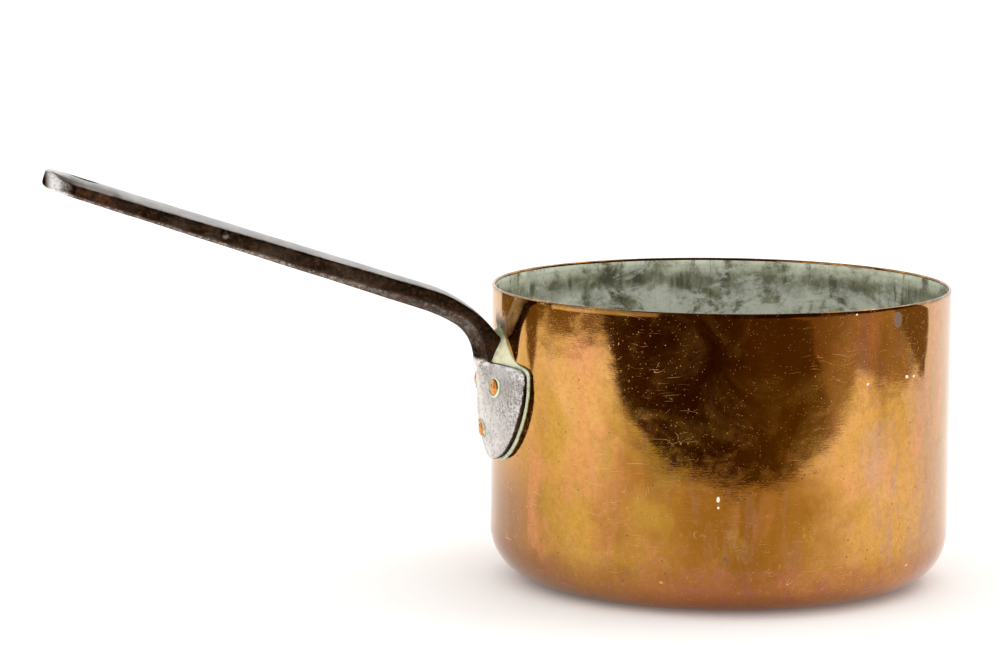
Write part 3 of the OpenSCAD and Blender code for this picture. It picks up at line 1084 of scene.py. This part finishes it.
def crust_height(y):
    """How high the crust reaches up the wall at a distance y from the handle's middle."""
    y = abs(y) / MM
    return (98.0 + 13.5 * math.exp(-(y / 12.5) ** 2.2) + 1.2 * math.exp(-(y / 24) ** 4)) * MM


def make_crust(material):
    """The crust that fills the crevice over the flange, between the neck and the wall."""
    wide, tall = 72, 26
    half_y, low = 24.5 * MM, 97.4 * MM
    outer, inner = [], []
    for j in range(tall + 1):
        for i in range(wide + 1):
            y = half_y * (2 * i / wide - 1)
            top = crust_height(y)
            share = j / tall
            z = low + (top - low) * share
            lump = noise.noise(Vector((y * 260, z * 260, 2.0))) * 0.5
            lump += noise.noise(Vector((y * 800, z * 800, 3.0))) * 0.22
            body = 5.6 * math.exp(-(abs(y) / (14.0 * MM)) ** 3) + 1.3
            thick = body * (1 - share) ** 0.6 * (1 + 0.12 * lump) * MM
            side = min(1.0, (1 - abs(2 * i / wide - 1)) * 6)
            r = PAN_R + (thick + 0.12 * MM * (1 - share)) * side
            outer.append(at_radius(r, y, z))
            inner.append(at_radius(PAN_R - 0.4 * MM, y, z))
    row = wide + 1
    shift = len(outer)
    faces = []
    for j in range(tall):
        for i in range(wide):
            quad = [j * row + i, j * row + i + 1, (j + 1) * row + i + 1, (j + 1) * row + i]
            faces += [quad, [k + shift for k in reversed(quad)]]
    border = list(range(row)) + [j * row + wide for j in range(1, tall + 1)]
    border += [tall * row + i for i in range(wide - 1, -1, -1)] + [j * row for j in range(tall - 1, 0, -1)]
    for a, b in zip(border, border[1:] + border[:1]):
        faces.append([a, b, b + shift, a + shift])
    return new_piece("verdigris_crust", outer + inner, faces, material)


def make_ring(name, angle, z, material, seed):
    """The broken ring of verdigris round a rivet's head."""
    steps, section = 72, 8
    face = face_reach(angle, z)
    place = rivet_place(angle, z)
    verts = []
    for i in range(steps):
        a = math.tau * i / steps
        wave = noise.noise(Vector((math.cos(a) * 1.6, math.sin(a) * 1.6, seed)))
        half = max(0.09, 0.32 + 0.36 * math.cos(a + 0.6 * seed) + 0.30 * wave) * MM
        for k in range(section):
            b = math.tau * k / section
            out = HEAD_R + 0.30 * MM + half * math.cos(b)
            p = place @ Vector((out * math.cos(a), out * math.sin(a), face))
            lift = face_u(p.y, p.z) + (0.15 + 0.45 * math.sin(b) * (1 + 0.5 * wave)) * MM
            verts.append(Vector((-lift, p.y, p.z)))
    return new_piece(name, verts, loop_faces(steps, section), material)


def make_object():
    """Every visible piece, with what it rides on and what it replaces."""
    copper, tin, iron = copper_material(), tin_material(), iron_material()
    rivet_copper, verdigris = rivet_material(), verdigris_material()
    placed = [
        (make_pan(copper), "pan_body", "copper"),
        (make_tin(tin), "tin_lining", "tin"),
        (make_handle(iron), "handle", "iron"),
    ]
    for seed, (node, (angle, z)) in enumerate(RIVETS.items()):
        placed.append((make_rivet(node, angle, z, rivet_copper, seed * 3.1), node, "copper_rivet"))
    for piece, node, slot in placed:
        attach(piece, "root")
        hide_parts(node)
    deposits = [make_bead(verdigris), make_crust(verdigris)]
    for seed, (node, (angle, z)) in enumerate(RIVETS.items()):
        deposits.append(make_ring("verdigris_" + node, angle, z, verdigris, 1.5 + seed * 2.3))
    for piece in deposits:
        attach(piece, "root")


# ---------------------------------------------------------------- studio

def turned(x, y, z):
    """A point given with Y away from the viewer, in the row frame."""
    return Matrix.Rotation(VIEW_TURN, 3, "Z") @ Vector((x, y, z))


def make_floor():
    """A wide floor, a hair under the pan so that the two don't share a surface."""
    size, drop = 14.0, 0.0002
    corners = ((-size, -size), (size, -size), (size, size), (-size, size))
    verts = [Vector((x, y, -drop)) for x, y in corners]
    floor = new_piece("floor", verts, [[0, 1, 2, 3]], floor_material())
    if floor.data.polygons[0].normal.z < 0:
        floor.data.flip_normals()


def make_card(name, corners, colour):
    """A studio card that only reflections see."""
    card = new_piece(name, [turned(*c) for c in corners], [list(range(len(corners)))], smooth=False)
    material = bpy.data.materials.new(name)
    material.use_nodes = True
    tree = material.node_tree
    tree.nodes.clear()
    emission = tree.nodes.new("ShaderNodeEmission")
    emission.inputs["Color"].default_value = (*colour, 1.0)
    emission.inputs["Strength"].default_value = 1.0
    output = tree.nodes.new("ShaderNodeOutputMaterial")
    tree.links.new(emission.outputs[0], output.inputs["Surface"])
    card.data.materials.append(material)
    for ray in ("camera", "diffuse", "shadow", "transmission"):
        setattr(card, "visible_" + ray, False)
    return card


def floor_card(name, corners, colour):
    """A card lying just over the floor, through (x, y) corners."""
    make_card(name, [(x, y, 0.001) for x, y in corners], colour)


def wall_card(name, radius, start, end, low, high, colour):
    """An upright curved card round the pan, between two angles from the camera's side (right is positive)."""
    steps = 48
    for i in range(steps):
        angles = [math.radians(start + (end - start) * k / steps) for k in (i, i + 1)]
        (x0, y0), (x1, y1) = [(radius * math.sin(a), -radius * math.cos(a)) for a in angles]
        corners = [(x0, y0, low), (x1, y1, low), (x1, y1, high), (x0, y0, high)]
        make_card(f"{name}_{i}", corners, colour)


def make_cards():
    """The dark studio beyond the lit paper, as the polished copper sees it."""
    dark, olive = (0.070, 0.030, 0.009), (0.22, 0.14, 0.022)
    brown, grey = (0.26, 0.16, 0.055), (0.52, 0.37, 0.26)
    far = 5.0
    floor_card("dark_front_left", [(-far, -far), (-0.5, -far), (-0.04, -0.418), (-0.43, -0.423),
                                   (-0.64, -0.472), (-0.85, -0.475), (-far, -0.475)], dark)
    steps = 8
    for i in range(steps):
        near_x, near_y, far_x = -0.04 + 0.03 * i, -0.418 + 0.002 * i, -0.5 + 0.24 * i
        share = (i + 0.5) / steps
        tint = tuple(a + (b - a) * share for a, b in zip(dark, olive))
        floor_card(f"graded_front_{i}", [(far_x, -far), (far_x + 0.24, -far), (near_x + 0.03, near_y + 0.002),
                                         (near_x, near_y)], tint)
    floor_card("olive_front", [(1.42, -far), (2.6, -far), (0.45, -0.355), (0.27, -0.397),
                               (0.20, -0.402)], olive)
    floor_card("grey_front_right", [(2.6, -far), (far, -far), (far, -0.33), (0.70, -0.33),
                                    (0.45, -0.355)], grey)
    floor_card("dark_left", [(-far, -0.475), (-0.85, -0.475), (-0.91, 0.18), (-0.66, 0.17), (-0.90, 0.375),
                             (-1.5, 0.62), (-far, 0.62)], brown)
    floor_card("brown_back_left", [(-0.66, 0.42), (-0.80, 0.52), (-3.0, 2.2), (-3.0, 4.0),
                                   (-0.60, 0.72)], brown)
    floor_card("grey_right", [(0.70, -0.33), (far, -0.33), (far, 0.0), (0.97, 0.0), (0.70, 0.17)], grey)
    floor_card("dark_right", [(0.63, 0.24), (0.97, 0.0), (far, 0.0), (far, 1.9), (0.85, 0.45)], brown)
    wall_card("dark_wall", 4.9, -100, 110, 0.0, 4.2, dark)
    ceiling = [(-4.9, -4.9, 4.2), (4.9, -4.9, 4.2), (4.9, 2.6, 4.2), (-4.9, 2.6, 4.2)]
    make_card("dark_ceiling", ceiling, (0.16, 0.14, 0.125))
    make_card("white_left", [(-1.3, -2.0, 0.0), (-1.3, 0.05, 0.0), (-1.3, 0.05, 1.1), (-1.3, -2.0, 1.1)],
              (1.0, 0.98, 0.96))


def make_lights():
    """A pale world and two soft lamps aimed at the middle of the pan."""
    world = bpy.data.worlds.new("studio")
    bpy.context.scene.world = world
    world.use_nodes = True
    background = world.node_tree.nodes["Background"]
    background.inputs["Color"].default_value = (1.0, 0.99, 0.985, 1.0)
    background.inputs["Strength"].default_value = 1.2
    for name, place, size, power in (
        ("softbox_right", (1.5, 0.4, 1.9), 1.3, 11.0),
        ("softbox_left", (-1.6, -0.3, 1.7), 1.2, 3.5),
    ):
        lamp = bpy.data.lights.new(name, "AREA")
        lamp.size = size
        lamp.energy = power
        lamp.color = (1.0, 0.985, 0.97)
        box = bpy.data.objects.new(name, lamp)
        box.location = turned(*place)
        aim = Vector((0, 0, 0.06)) - box.location
        box.rotation_euler = aim.to_track_quat("-Z", "Y").to_euler()
        bpy.context.scene.collection.objects.link(box)


def make_camera():
    """Long lens, a little above the rim, with the handle swung 15.5 degrees towards the viewer."""
    data = bpy.data.cameras.new("camera")
    data.sensor_width = 36.0
    data.lens = CAMERA_LENS
    data.clip_end = 100.0
    camera = bpy.data.objects.new("camera", data)
    camera.matrix_world = (
        Matrix.Translation(turned(*CAMERA_PLACE))
        @ Matrix.Rotation(VIEW_TURN + CAMERA_YAW, 4, "Z")
        @ Matrix.Rotation(CAMERA_PITCH, 4, "X")
        @ Matrix.Rotation(CAMERA_ROLL, 4, "Y")
        @ Matrix.Rotation(math.pi / 2, 4, "X")
    )
    bpy.context.scene.collection.objects.link(camera)
    bpy.context.scene.camera = camera


make_camera()
make_object()
make_floor()
make_cards()
make_lights()
bpy.context.scene.view_settings.view_transform = "Standard"
